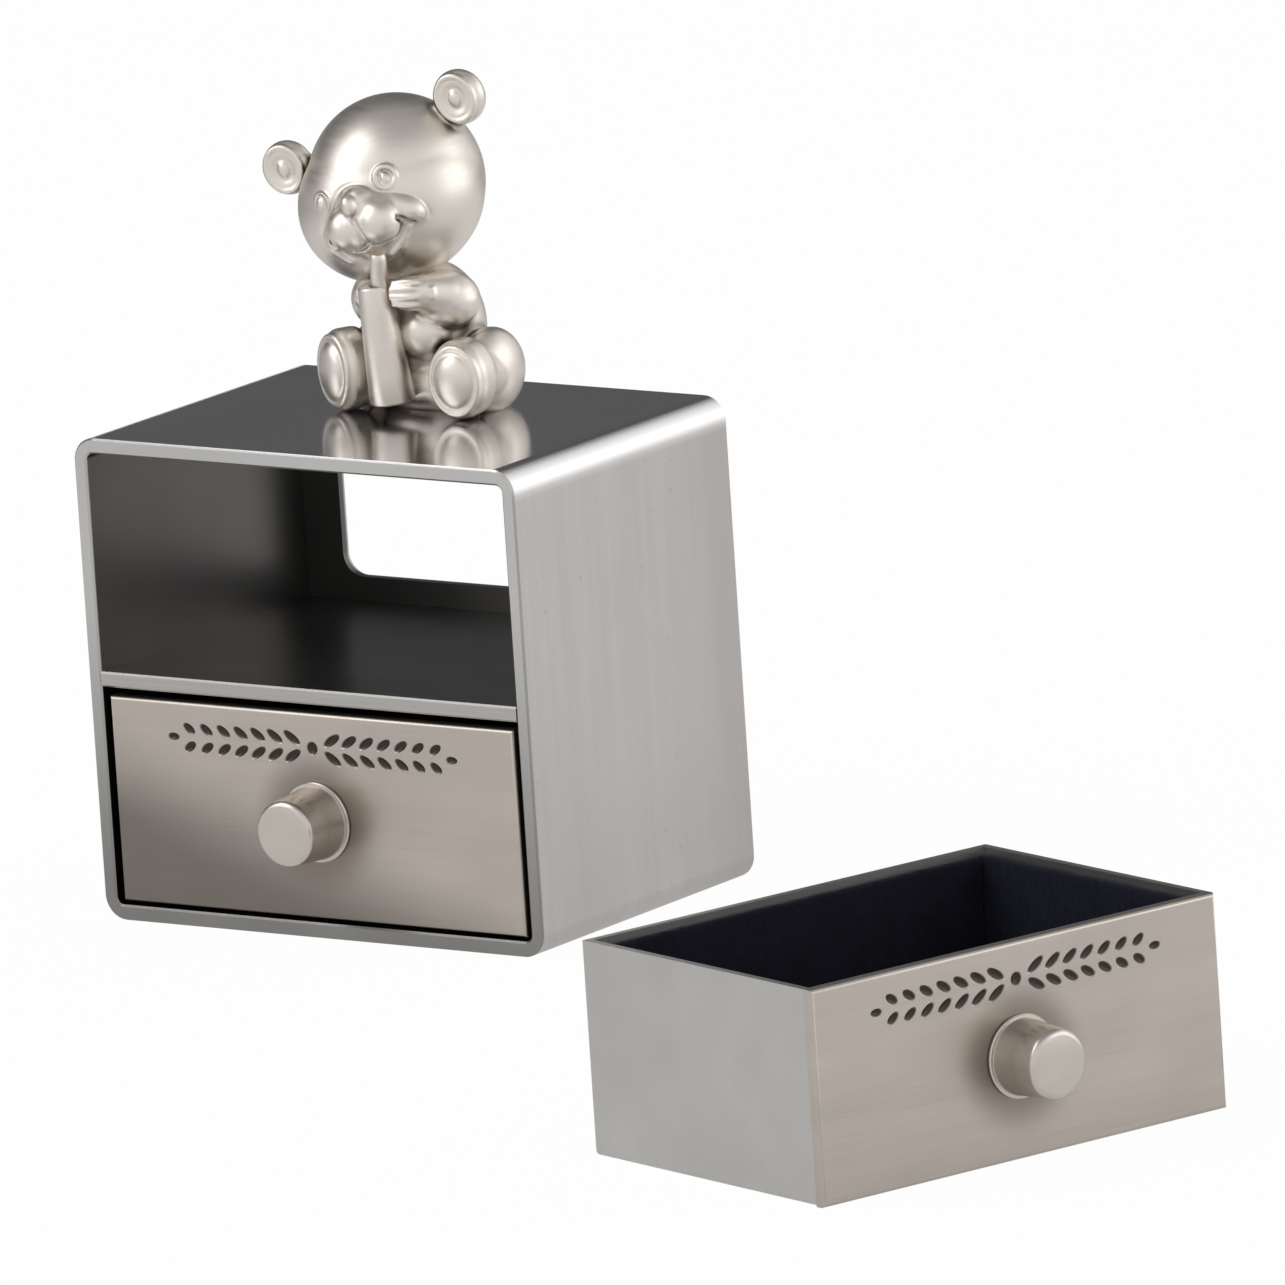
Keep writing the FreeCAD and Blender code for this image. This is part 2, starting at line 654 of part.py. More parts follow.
doc.recompute()
for obj in doc.Objects:
    if "Invalid" in obj.State or "Error" in obj.State:
        raise RuntimeError(obj.Name + " failed: " + str(obj.State))
for node in nodes:
    node.Label = node.Name
    if node.Shape.isNull() or not node.Shape.isValid():
        raise RuntimeError(node.Label + " has no valid shape")
for node in nodes:
    node.Shape.exportStep("parts/%s.step" % node.Label)
    print(node.Label, len(node.Shape.Solids), round(node.Shape.Volume, 1), node.Shape.BoundBox)
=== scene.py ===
import math

import bpy
from mathutils import Matrix, Vector


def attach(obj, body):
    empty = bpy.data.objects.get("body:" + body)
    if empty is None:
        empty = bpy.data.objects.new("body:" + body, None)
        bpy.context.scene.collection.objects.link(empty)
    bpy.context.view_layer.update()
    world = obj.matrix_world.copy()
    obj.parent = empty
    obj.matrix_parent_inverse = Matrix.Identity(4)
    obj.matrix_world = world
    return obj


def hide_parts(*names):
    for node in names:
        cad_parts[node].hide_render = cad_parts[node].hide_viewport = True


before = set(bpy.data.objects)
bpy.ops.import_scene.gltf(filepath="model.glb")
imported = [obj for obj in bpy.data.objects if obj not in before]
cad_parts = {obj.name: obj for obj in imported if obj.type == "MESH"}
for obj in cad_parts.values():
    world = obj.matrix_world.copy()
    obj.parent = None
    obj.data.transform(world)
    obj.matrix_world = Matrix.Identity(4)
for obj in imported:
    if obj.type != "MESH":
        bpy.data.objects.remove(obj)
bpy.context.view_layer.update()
bpy.context.scene.view_settings.view_transform = "Standard"

# Cabinet shell: one strip of sheet metal bent into a rounded tube and soldered underneath, then plated.
# Its outside is brushed up and down, the deck on top is polished, and the inside is coloured near black as
# painted shade.
mm = 0.001


def lay_node(tree, kind, **settings):
    made = tree.nodes.new(kind)
    for name, value in settings.items():
        setattr(made, name, value)
    return made


def reckon(tree, how, first, second, clamp=False):
    made = lay_node(tree, "ShaderNodeMath", operation=how, use_clamp=clamp)
    for socket, value in zip(made.inputs, (first, second)):
        if isinstance(value, (int, float)):
            socket.default_value = value
        else:
            tree.links.new(value, socket)
    return made.outputs[0]


def step_at(tree, value, low, high):
    made = lay_node(tree, "ShaderNodeMapRange", interpolation_type="SMOOTHSTEP")
    tree.links.new(value, made.inputs["Value"])
    made.inputs["From Min"].default_value = low
    made.inputs["From Max"].default_value = high
    return made.outputs["Result"]


def stain(tree, share, plain, stained):
    made = lay_node(tree, "ShaderNodeMix", data_type="RGBA")
    for socket, value in ((made.inputs[0], share), (made.inputs[6], plain), (made.inputs[7], stained)):
        if isinstance(value, tuple):
            socket.default_value = (*value, 1.0)
        elif isinstance(value, (int, float)):
            socket.default_value = value
        else:
            tree.links.new(value, socket)
    return made.outputs[2]


def between(tree, share, low, high):
    made = lay_node(tree, "ShaderNodeMapRange")
    tree.links.new(share, made.inputs["Value"])
    for name, value in (("To Min", low), ("To Max", high)):
        if isinstance(value, (int, float)):
            made.inputs[name].default_value = value
        else:
            tree.links.new(value, made.inputs[name])
    return made.outputs["Result"]


def metal(name):
    finish = bpy.data.materials.new(name)
    finish.use_nodes = True
    tree = finish.node_tree
    shader = tree.nodes["Principled BSDF"]
    shader.inputs["Metallic"].default_value = 1.0
    return finish, tree, shader


def place_of(tree, origin=(0.0, 0.0, 0.0), turn=0.0):
    where = lay_node(tree, "ShaderNodeTexCoord").outputs["Object"]
    seat = lay_node(tree, "ShaderNodeMapping", vector_type="TEXTURE")
    seat.inputs["Location"].default_value = origin
    seat.inputs["Rotation"].default_value = (0.0, 0.0, turn)
    tree.links.new(where, seat.inputs["Vector"])
    return seat.outputs["Vector"]


def axes_of(tree, place):
    made = lay_node(tree, "ShaderNodeSeparateXYZ")
    tree.links.new(place, made.inputs[0])
    return made.outputs


def streaks(tree, place, per_metre, detail=3.0):
    seat = lay_node(tree, "ShaderNodeMapping")
    seat.inputs["Scale"].default_value = per_metre
    tree.links.new(place, seat.inputs["Vector"])
    grain = lay_node(tree, "ShaderNodeTexNoise")
    grain.inputs["Scale"].default_value = 1.0
    grain.inputs["Detail"].default_value = detail
    grain.inputs["Roughness"].default_value = 0.6
    tree.links.new(seat.outputs["Vector"], grain.inputs["Vector"])
    return grain.outputs["Fac"]


def roughen(tree, shader, height, depth, strength):
    bump = lay_node(tree, "ShaderNodeBump")
    bump.inputs["Distance"].default_value = depth
    bump.inputs["Strength"].default_value = strength
    tree.links.new(height, bump.inputs["Height"])
    tree.links.new(bump.outputs["Normal"], shader.inputs["Normal"])


inside_half, inside_top, inside_bottom = 26.2 * mm, 49.1 * mm, 1.4 * mm
rim_front, rim_mid, rim_back = -18.85 * mm, -18.7 * mm, -18.6 * mm
rim_dark_at, rim_light_at = -2.0 * mm, 40.0 * mm
deck_low, deck_top = 50.2 * mm, 50.45 * mm
deck_side, deck_flat = 26.6 * mm, 25.6 * mm
bend_low, bend_top = 47.0 * mm, 49.0 * mm
brushed_shades = (0.44, 0.418, 0.405), (0.58, 0.552, 0.535)
pale_band, dull_cloud, dark_speck = (0.62, 0.59, 0.57), (0.42, 0.398, 0.386), (0.20, 0.19, 0.18)
shaded_back, bend_highlight = (0.36, 0.34, 0.335), (0.88, 0.87, 0.86)
rim_shade_to_light, rim_cloud = ((0.23, 0.225, 0.215), (0.55, 0.54, 0.525)), (0.40, 0.39, 0.38)
polished_shades = (0.68, 0.675, 0.675), (0.56, 0.555, 0.555)
inside_shade_colours = (0.15, 0.145, 0.14), (0.085, 0.082, 0.08)
speck_share, back_shade_share = 0.2, 0.35
deck_gloss, inside_gloss = 0.13, 0.34
cloud_size = (45.0, 45.0, 38.0)
case_metal, tree, shader = metal("brushed_case_metal")
place = place_of(tree)
along = axes_of(tree, place)
grain = streaks(tree, place, (4200.0, 4200.0, 55.0))
bands = streaks(tree, place, (230.0, 230.0, 9.0), detail=2.0)
clouds = streaks(tree, place, cloud_size, detail=2.0)
specks = step_at(tree, streaks(tree, place, (900.0, 900.0, 900.0), detail=1.0), 0.74, 0.79)
across = reckon(tree, "ABSOLUTE", along["X"], 0.0)
within = reckon(tree, "LESS_THAN", across, inside_half)
below_deck = reckon(tree, "LESS_THAN", along["Z"], inside_top)
above_floor = reckon(tree, "GREATER_THAN", along["Z"], inside_bottom)
behind_rim = step_at(tree, along["Y"], rim_front, rim_back)
inside = reckon(tree, "MULTIPLY", reckon(tree, "MULTIPLY", within, below_deck),
                reckon(tree, "MULTIPLY", above_floor, behind_rim))
deck = reckon(tree, "MULTIPLY", step_at(tree, along["Z"], deck_low, deck_top),
              step_at(tree, across, deck_side, deck_flat))
brushed = stain(tree, between(tree, grain, 0.1, 0.9), *brushed_shades)
brushed = stain(tree, between(tree, bands, -0.25, 0.75), brushed, pale_band)
brushed = stain(tree, between(tree, clouds, -0.35, 0.55), brushed, dull_cloud)
brushed = stain(tree, reckon(tree, "MULTIPLY", specks, speck_share), brushed, dark_speck)
# Painted shade: the shell's colour darkens towards the back.
shade_to_back = reckon(tree, "MULTIPLY", step_at(tree, along["Y"], 0.0, 20.0 * mm), back_shade_share)
brushed = stain(tree, shade_to_back, brushed, shaded_back)
# Painted highlight: the rounded bend up to the deck is coloured near white.
brushed = stain(tree, step_at(tree, along["Z"], bend_low, bend_top), brushed, bend_highlight)
# Painted shade and light: the front rim is coloured dark at the bottom and light towards the top.
rim = step_at(tree, along["Y"], rim_mid, rim_front)
edge = stain(tree, step_at(tree, along["Z"], rim_dark_at, rim_light_at), *rim_shade_to_light)
edge = stain(tree, between(tree, clouds, -0.3, 0.5), edge, rim_cloud)
brushed = stain(tree, rim, brushed, edge)
polished = stain(tree, clouds, *polished_shades)
# Painted shade: the inside of the tube is coloured near black.
painted_inside_shade = stain(tree, clouds, *inside_shade_colours)
colour = stain(tree, inside, stain(tree, deck, brushed, polished), painted_inside_shade)
tree.links.new(colour, shader.inputs["Base Color"])
gloss = between(tree, grain, 0.30, 0.42)
gloss = between(tree, deck, gloss, deck_gloss)
gloss = between(tree, inside, gloss, inside_gloss)
tree.links.new(gloss, shader.inputs["Roughness"])
outside = reckon(tree, "SUBTRACT", 1.0, reckon(tree, "MAXIMUM", deck, inside))
roughen(tree, shader, reckon(tree, "MULTIPLY", grain, outside), depth=0.02 * mm, strength=0.35)
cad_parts["cabinet_shell"].material_slots[0].material = case_metal

# Shelf: a plate slid into the tube and soldered along both sides. Its front edge is bright metal and the rest
# is painted shade inside the cabinet.
# The upper drawer runs on it.
shelf_edge = -18.6 * mm, -18.9 * mm
shelf_shaded = (0.27, 0.263, 0.257), (0.15, 0.147, 0.143)
shelf_bright = (0.40, 0.39, 0.37), (0.50, 0.49, 0.47)


def plate_finish(name, brushing, lit_side, shaded, bright, gloss, depth):
    made, tree, shader = metal(name)
    place = place_of(tree)
    grain = streaks(tree, place, brushing)
    clouds = streaks(tree, place, cloud_size, detail=2.0)
    # Painted shade: the plate takes the dark colours inside the cabinet and the bright ones on its outer
    # side.
    lit_part = step_at(tree, axes_of(tree, place)["Y"], *lit_side)
    colour = stain(tree, lit_part, stain(tree, clouds, *shaded), stain(tree, grain, *bright))
    tree.links.new(colour, shader.inputs["Base Color"])
    tree.links.new(between(tree, grain, *gloss), shader.inputs["Roughness"])
    roughen(tree, shader, grain, depth=depth, strength=0.3)
    return made


shelf_metal = plate_finish("shelf_metal", (60.0, 3000.0, 3000.0), shelf_edge, shelf_shaded, shelf_bright,
                           gloss=(0.26, 0.4), depth=0.01 * mm)
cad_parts["shelf"].material_slots[0].material = shelf_metal

# Back panel: a plate with two rounded windows stamped out, soldered inside the back of the tube.
# A drawer is pushed out from behind through its window.
# Painted shade: the inner face is coloured dark, and the rear face keeps the bright metal.
panel_rear = 18.6 * mm, 18.9 * mm
panel_shaded = (0.16, 0.155, 0.15), (0.09, 0.088, 0.085)
panel_bright = (0.40, 0.385, 0.375), (0.52, 0.50, 0.485)
panel_metal = plate_finish("back_panel_metal", (3000.0, 3000.0, 60.0), panel_rear, panel_shaded, panel_bright,
                           gloss=(0.30, 0.42), depth=0.012 * mm)
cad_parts["back_panel"].material_slots[0].material = panel_metal

# Drawer fronts: plates sawn to size, brushed from side to side, with softly eased edges and a punched band
# of laurel near the top. Each is soldered to its tray. Their colour is painted darker round the knob as
# painted shade, and on the curl drawer towards the lower left corner as painted shade as well.
drawer_ways = {
    "curl_drawer": ((0.0, -18.8 * mm, 1.95 * mm), 0.0),
    "tooth_drawer": ((123.0 * mm, -73.5 * mm, 0.0), math.radians(73.0)),
}
knob_high = 10.2 * mm


def deselect():
    bpy.ops.object.select_all(action="DESELECT")


def take(piece):
    deselect()
    piece.select_set(True)
    bpy.context.view_layer.objects.active = piece


def weld(name, parts):
    deselect()
    for part in parts:
        part.select_set(True)
    bpy.context.view_layer.objects.active = parts[0]
    bpy.ops.object.join()
    whole = bpy.context.object
    whole.name = name
    return whole


def finish_with(piece, kind, **settings):
    take(piece)
    tool = piece.modifiers.new(kind.lower(), kind)
    for name, value in settings.items():
        setattr(tool, name, value)
    bpy.ops.object.modifier_apply(modifier=tool.name)


def fix_place(piece):
    take(piece)
    bpy.ops.object.transform_apply(location=True, rotation=True, scale=True)


def put(piece, origin, turn, size=1.0):
    piece.location = origin
    piece.rotation_euler = (0.0, 0.0, turn)
    piece.scale = (size, size, size)
    fix_place(piece)


def dress(piece, finish, body, slot, *nodes):
    piece.data.materials.clear()
    piece.data.materials.append(finish)
    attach(piece, body)
    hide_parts(*nodes)


def slab(name, low, high):
    deselect()
    middle = [(a + b) / 2 for a, b in zip(low, high)]
    bpy.ops.mesh.primitive_cube_add(size=1.0, location=middle)
    bpy.context.object.name = name
    bpy.context.object.scale = [b - a for a, b in zip(low, high)]
    fix_place(bpy.context.object)
    return bpy.context.object


def dimple(centre, radii, tilt):
    deselect()
    bpy.ops.mesh.primitive_uv_sphere_add(segments=24, ring_count=12, radius=1.0, location=centre)
    bpy.context.object.rotation_euler = (0.0, tilt, 0.0)
    bpy.context.object.scale = radii
    fix_place(bpy.context.object)
    return bpy.context.object


# Colour of the painted shade towards the lower left corner, and the share of the painted shade round the
# knob.
corner_shade_colour, ring_shade_share = (0.10, 0.09, 0.078), 0.75
laurel_half, laurel_low, laurel_top = 21.0 * mm, 14.0 * mm, 20.5 * mm
punched_dark = (0.05, 0.043, 0.036)


def drawer_finish(name, origin, turn, warm, corner_shade_share=0.0):
    low, high, band, cloud, ring_shade_colour = warm
    made, tree, shader = metal(name)
    place = place_of(tree, origin, turn)
    along = axes_of(tree, place)
    grain = streaks(tree, place, (55.0, 4200.0, 4200.0))
    bands = streaks(tree, place, (9.0, 160.0, 160.0), detail=2.0)
    clouds = streaks(tree, place, (42.0, 42.0, 55.0), detail=2.0)
    from_knob = lay_node(tree, "ShaderNodeVectorMath", operation="DISTANCE")
    tree.links.new(place, from_knob.inputs[0])
    from_knob.inputs[1].default_value = (0.0, 0.0, knob_high)
    # Painted shade: the colour darkens in a ring round the knob.
    ring_shade = step_at(tree, from_knob.outputs["Value"], 8.5 * mm, 4.0 * mm)
    brushed = stain(tree, between(tree, grain, 0.1, 0.9), low, high)
    brushed = stain(tree, between(tree, bands, -0.2, 0.7), brushed, band)
    brushed = stain(tree, between(tree, clouds, -0.3, 0.6), brushed, cloud)
    # Painted shade: the colour darkens towards the lower left corner, by the given share.
    slope = reckon(tree, "ADD", reckon(tree, "MULTIPLY", along["X"], 0.02 / mm),
                   reckon(tree, "MULTIPLY", along["Z"], 0.06 / mm))
    shaded_corner = reckon(tree, "MULTIPLY", step_at(tree, slope, 0.75, -0.05), corner_shade_share)
    brushed = stain(tree, shaded_corner, brushed, corner_shade_colour)
    brushed = stain(tree, reckon(tree, "MULTIPLY", ring_shade, ring_shade_share), brushed, ring_shade_colour)
    below_face = step_at(tree, along["Y"], 0.01 * mm, 0.12 * mm)
    above_back = reckon(tree, "LESS_THAN", along["Y"], 0.5 * mm)
    punched = reckon(tree, "MULTIPLY", below_face, above_back)
    off_middle = reckon(tree, "ABSOLUTE", along["X"], 0.0)
    for test, value, limit in (("LESS_THAN", off_middle, laurel_half), ("LESS_THAN", along["Z"], laurel_top),
                               ("GREATER_THAN", along["Z"], laurel_low)):
        punched = reckon(tree, "MULTIPLY", punched, reckon(tree, test, value, limit))
    tree.links.new(stain(tree, punched, brushed, punched_dark), shader.inputs["Base Color"])
    tree.links.new(between(tree, grain, 0.27, 0.40), shader.inputs["Roughness"])
    roughen(tree, shader, grain, depth=0.02 * mm, strength=0.35)
    return made


# The last colour is the painted shade round the knob.
front_shades = ((0.41, 0.37, 0.335), (0.585, 0.53, 0.48), (0.65, 0.59, 0.535), (0.32, 0.285, 0.255),
                (0.19, 0.158, 0.132))
# How much painted shade each front gets towards its lower left corner.
corner_shading = {"curl_drawer": 0.75, "tooth_drawer": 0.1}
front_half, front_thick, front_high = 25.3 * mm, 1.2 * mm, 21.6 * mm
eased, laurel_high, sunk = 0.4 * mm, 17.9 * mm, -0.1 * mm
bud_radii = (0.75 * mm, 0.34 * mm, 0.75 * mm)
tip_radii, tip_out = (0.8 * mm, 0.32 * mm, 0.42 * mm), 17.4 * mm
leaves, first_leaf, leaf_pitch, longest, shorter = 7, 2.5, 2.15, 1.35, 0.07
leaf_deep, leaf_wide, leaf_rise, leaf_lean = 0.32 * mm, 0.5 * mm, 0.95 * mm, 0.55
for drawer, (origin, turn) in drawer_ways.items():
    plate = slab(f"{drawer}_front", (-front_half, 0.0, 0.0), (front_half, front_thick, front_high))
    take(plate)
    bpy.ops.object.mode_set(mode="EDIT")
    bpy.ops.mesh.select_mode(type="FACE")
    bpy.ops.mesh.select_all(action="DESELECT")
    bpy.ops.object.mode_set(mode="OBJECT")
    for face in plate.data.polygons:
        face.select = face.normal.y < -0.9
    bpy.ops.object.mode_set(mode="EDIT")
    bpy.ops.mesh.bevel(offset=eased, segments=4, affect="EDGES")
    bpy.ops.object.mode_set(mode="OBJECT")
    laurel = [dimple((0.0, sunk, laurel_high), bud_radii, 0.0)]
    for side in (-1, 1):
        for leaf in range(leaves):
            reach = side * (first_leaf + leaf_pitch * leaf) * mm
            long = (longest - shorter * leaf) * mm
            for over in (-1, 1):
                middle = (reach, sunk, laurel_high + over * leaf_rise)
                laurel.append(dimple(middle, (long, leaf_deep, leaf_wide), -side * over * leaf_lean))
        laurel.append(dimple((side * tip_out, sunk, laurel_high), tip_radii, 0.0))
    punch = weld("laurel_punch", laurel)
    finish_with(plate, "BOOLEAN", object=punch, operation="DIFFERENCE", solver="EXACT", use_self=True)
    bpy.data.objects.remove(punch)
    put(plate, origin, turn)
    bpy.ops.object.shade_smooth_by_angle(angle=math.radians(35.0))
    finish_with(plate, "WEIGHTED_NORMAL", weight=100, keep_sharp=True)
    finish = drawer_finish(f"{drawer}_front_metal", origin, turn, front_shades, corner_shading[drawer])
    dress(plate, finish, drawer, "drawer_metal", f"{drawer}_front_plate")

# Drawer trays: thin sheet folded into an open box and soldered at the corners.
# A tray is a little greyer than its front and is brushed along its length.
# The last colour is the painted shade round the knob, as on the fronts.
tray_shades = ((0.44, 0.435, 0.42), (0.54, 0.53, 0.515), (0.58, 0.57, 0.55), (0.41, 0.40, 0.385),
               (0.36, 0.35, 0.34))
for drawer, (origin, turn) in drawer_ways.items():
    sheet = drawer_finish(f"{drawer}_tray_metal", origin, turn, tray_shades)
    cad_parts[f"{drawer}_tray"].material_slots[0].material = sheet

# Drawer knobs: turned from bar, with a thin flange, a tapered side and a rolled edge round a flat face.
# A screw from inside the front holds each one.
knob_turns = [(0.0, 4.1), (0.1, 4.2), (0.3, 4.2), (0.4, 4.1), (0.42, 3.85), (0.5, 3.8), (3.0, 3.64),
              (5.3, 3.47), (5.5, 3.44), (5.7, 3.36), (5.85, 3.24), (5.95, 3.08), (6.0, 2.85)]
knob_shades = (0.52, 0.475, 0.43), (0.63, 0.585, 0.535)
screw_shades = (0.42, 0.42, 0.43), (0.58, 0.58, 0.59)


def lathe(name, turns, foot, lean):
    deselect()
    bpy.ops.mesh.primitive_circle_add(vertices=96, radius=turns[0][1], fill_type="NGON")
    made = bpy.context.object
    made.name = name
    bpy.ops.object.mode_set(mode="EDIT")
    bpy.ops.mesh.select_all(action="SELECT")
    for (low, narrow), (high, wide) in zip(turns, turns[1:]):
        bpy.ops.mesh.extrude_region_move(TRANSFORM_OT_translate={"value": (0.0, 0.0, high - low)})
        bpy.ops.transform.resize(value=(wide / narrow, wide / narrow, 1.0))
    bpy.ops.mesh.select_all(action="SELECT")
    bpy.ops.mesh.normals_make_consistent(inside=False)
    bpy.ops.object.mode_set(mode="OBJECT")
    made.location = foot
    made.rotation_euler = [math.radians(v) for v in lean]
    fix_place(made)
    return made


def knob_finish(name, origin, turn):
    made, tree, shader = metal(name)
    place = place_of(tree, origin, turn)
    clouds = streaks(tree, place, (220.0, 220.0, 220.0), detail=2.0)
    from_axis = lay_node(tree, "ShaderNodeVectorMath", operation="MULTIPLY_ADD")
    tree.links.new(place, from_axis.inputs[0])
    from_axis.inputs[1].default_value = (1.0, 0.0, 1.0)
    from_axis.inputs[2].default_value = (0.0, 0.0, -knob_high)
    out = lay_node(tree, "ShaderNodeVectorMath", operation="LENGTH")
    tree.links.new(from_axis.outputs[0], out.inputs[0])
    rings = lay_node(tree, "ShaderNodeTexNoise", noise_dimensions="1D")
    rings.inputs["Scale"].default_value = 3500.0
    rings.inputs["Detail"].default_value = 2.0
    tree.links.new(out.outputs["Value"], rings.inputs["W"])
    tree.links.new(stain(tree, clouds, *knob_shades), shader.inputs["Base Color"])
    tree.links.new(between(tree, rings.outputs["Fac"], 0.24, 0.34), shader.inputs["Roughness"])
    roughen(tree, shader, rings.outputs["Fac"], depth=0.008 * mm, strength=0.3)
    return made


steel, tree, shader = metal("screw_steel")
place = place_of(tree)
grain = streaks(tree, place, (1500.0, 1500.0, 1500.0))
tree.links.new(stain(tree, grain, *screw_shades), shader.inputs["Base Color"])
tree.links.new(between(tree, grain, 0.25, 0.4), shader.inputs["Roughness"])
for drawer, (origin, turn) in drawer_ways.items():
    turns = [(h * mm, r * mm) for h, r in knob_turns]
    knob = lathe(f"{drawer}_turned_knob", turns, (0.0, 0.0, knob_high), (90.0, 0.0, 0.0))
    put(knob, origin, turn)
    bpy.ops.object.shade_smooth_by_angle(angle=math.radians(40.0))
    dress(knob, knob_finish(f"{drawer}_knob_metal", origin, turn), drawer, "knob_metal", f"{drawer}_knob")
    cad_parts[f"{drawer}_knob_screw"].material_slots[0].material = steel
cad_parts["bear_screws"].material_slots[0].material = steel

# Drawer linings: dark blue velvet over thin foam, cut as strips for the walls and a pad for the floor.
# They are glued in, and the velvet stands a little proud at every edge.
pile_shades, pile_rubbed = ((0.003, 0.003, 0.006), (0.012, 0.013, 0.024)), (0.016, 0.018, 0.034)
velvet = bpy.data.materials.new("navy_velvet")
velvet.use_nodes = True
tree = velvet.node_tree
shader = tree.nodes["Principled BSDF"]
place = place_of(tree)
nap = streaks(tree, place, (5200.0, 5200.0, 5200.0), detail=4.0)
rubbed = streaks(tree, place, (260.0, 260.0, 260.0), detail=3.0)
pile = stain(tree, nap, *pile_shades)
pile = stain(tree, between(tree, rubbed, -0.4, 0.7), pile, pile_rubbed)
tree.links.new(pile, shader.inputs["Base Color"])
shader.inputs["Roughness"].default_value = 0.95
shader.inputs["Specular IOR Level"].default_value = 0.15
shader.inputs["Sheen Weight"].default_value = 0.35
shader.inputs["Sheen Roughness"].default_value = 0.4
shader.inputs["Sheen Tint"].default_value = (0.30, 0.34, 0.55, 1.0)
roughen(tree, shader, nap, depth=0.12 * mm, strength=0.8)


def velvet_pad(name, low, high):
    pad = slab(name, [v * mm for v in low], [v * mm for v in high])
    finish_with(pad, "BEVEL", width=0.3 * mm, segments=3, limit_method="ANGLE")
    finish_with(pad, "REMESH", mode="VOXEL", voxel_size=0.3 * mm)
    finish_with(pad, "SMOOTH", factor=0.5, iterations=6)
    fibre = bpy.data.textures.new(f"{name}_nap", "CLOUDS")
    fibre.noise_scale = 0.55 * mm
    finish_with(pad, "DISPLACE", texture=fibre, strength=0.16 * mm, mid_level=0.9, texture_coords="LOCAL")
    return pad


strip_half, strip_thick, end_half = 0.45, 0.9, 23.5
strip_front, strip_back = 1.25, 34.75
lining_low, strip_top, pad_top = 0.85, 21.0, 2.15
for drawer, (origin, turn) in drawer_ways.items():
    sides = [velvet_pad("side_strip", (x - strip_half, strip_front, lining_low),
                        (x + strip_half, strip_back, strip_top)) for x in (-24.0, 24.0)]
    ends = [velvet_pad("end_strip", (-end_half, y, lining_low), (end_half, y + strip_thick, strip_top))
            for y in (strip_front, 33.85)]
    floor_pad = velvet_pad(f"{drawer}_floor_velvet", (-end_half, 2.2, lining_low), (end_half, 33.8, pad_top))
    side_velvet = weld(f"{drawer}_side_velvet", sides)
    end_velvet = weld(f"{drawer}_end_velvet", ends)
    linings = {"side_linings": side_velvet, "end_linings": end_velvet, "floor_pad": floor_pad}
    for node, piece in linings.items():
        put(piece, origin, turn)
        bpy.ops.object.shade_smooth()
        dress(piece, velvet, drawer, "velvet", f"{drawer}_{node}")

# Bear's body: a casting in soft white metal, seated with both feet forward and the hands round a bottle.
# It was brushed by hand and plated, and its colour is darker in the hollows, part patina and part painted
# shade. Two screws hold it from below.
# Its forms are laid out in millimetres from the seat and shrunk to metres at the end.
bear_seat = (0.4 * mm, 8.0 * mm, 50.5 * mm)


def bulge(centre, radii, turn=(0.0, 0.0, 0.0)):
    deselect()
    bpy.ops.mesh.primitive_uv_sphere_add(segments=64, ring_count=32, radius=1.0, location=centre)
    made = bpy.context.object
    made.rotation_euler = [math.radians(v) for v in turn]
    made.scale = radii if isinstance(radii, tuple) else (radii, radii, radii)
    fix_place(made)
    return made


def limb(start, start_round, end, end_round, count=9):
    made = []
    for k in range(count):
        share = k / (count - 1)
        centre = Vector(start).lerp(Vector(end), share)
        made.append(bulge(centre, start_round + (end_round - start_round) * share))
    return made


def hoop(centre, facing, across, upright, thick):
    deselect()
    bpy.ops.mesh.primitive_torus_add(major_radius=1.0, minor_radius=thick / across, major_segments=96,
                                     minor_segments=24, location=centre)
    made = bpy.context.object
    made.rotation_euler = Vector(facing).to_track_quat("Z", "Y").to_euler()
    made.scale = (across, upright, across)
    fix_place(made)
    return made


def thread(points, thick):
    line = bpy.data.curves.new("thread", "CURVE")
    line.dimensions = "3D"
    line.bevel_depth = thick
    line.bevel_resolution = 4
    line.use_fill_caps = True
    run = line.splines.new("NURBS")
    run.points.add(len(points) - 1)
    for spot, point in zip(run.points, points):
        spot.co = (*point, 1.0)
    run.order_u = 3
    run.use_endpoint_u = True
    run.resolution_u = 8
    made = bpy.data.objects.new("thread", line)
    bpy.context.collection.objects.link(made)
    take(made)
    bpy.ops.object.convert(target="MESH")
    return bpy.context.object


def on_skin(piece, points, lift=0.0):
    laid = []
    for point in points:
        _, spot, normal, _ = piece.closest_point_on_mesh(Vector(point))
        laid.append(spot + normal * lift)
    return laid


def recast(piece, grain, rounds):
    finish_with(piece, "REMESH", mode="VOXEL", voxel_size=grain)
    finish_with(piece, "SMOOTH", factor=0.5, iterations=rounds)


def carve(piece, cutters):
    tool = weld("cutter", cutters)
    cutter_grain = 0.12
    finish_with(tool, "REMESH", mode="VOXEL", voxel_size=cutter_grain)
    finish_with(piece, "BOOLEAN", object=tool, operation="DIFFERENCE", solver="MANIFOLD")
    bpy.data.objects.remove(tool)


def foot(centre, wide, high, turn):
    barrel_step, barrel_thick = 0.4, 1.7
    rim_out, rim_share, rim_thick = 0.98, 0.82, 0.3
    pad_out, pad_wide, pad_thick, pad_high = 1.1, 0.66, 0.95, 0.68
    middle, facing = Vector(centre), (0.0, 0.0, turn)
    forward = Matrix.Rotation(math.radians(turn), 4, "Z") @ Vector((0.0, -1.0, 0.0))
    barrel = [bulge(middle - forward * k * barrel_step, (wide, barrel_thick, high), facing) for k in range(5)]
    rim = hoop(middle + forward * rim_out, forward, wide * rim_share, high * rim_share, rim_thick)
    pad = bulge(middle + forward * pad_out, (wide * pad_wide, pad_thick, high * pad_high), facing)
    return barrel, rim, pad


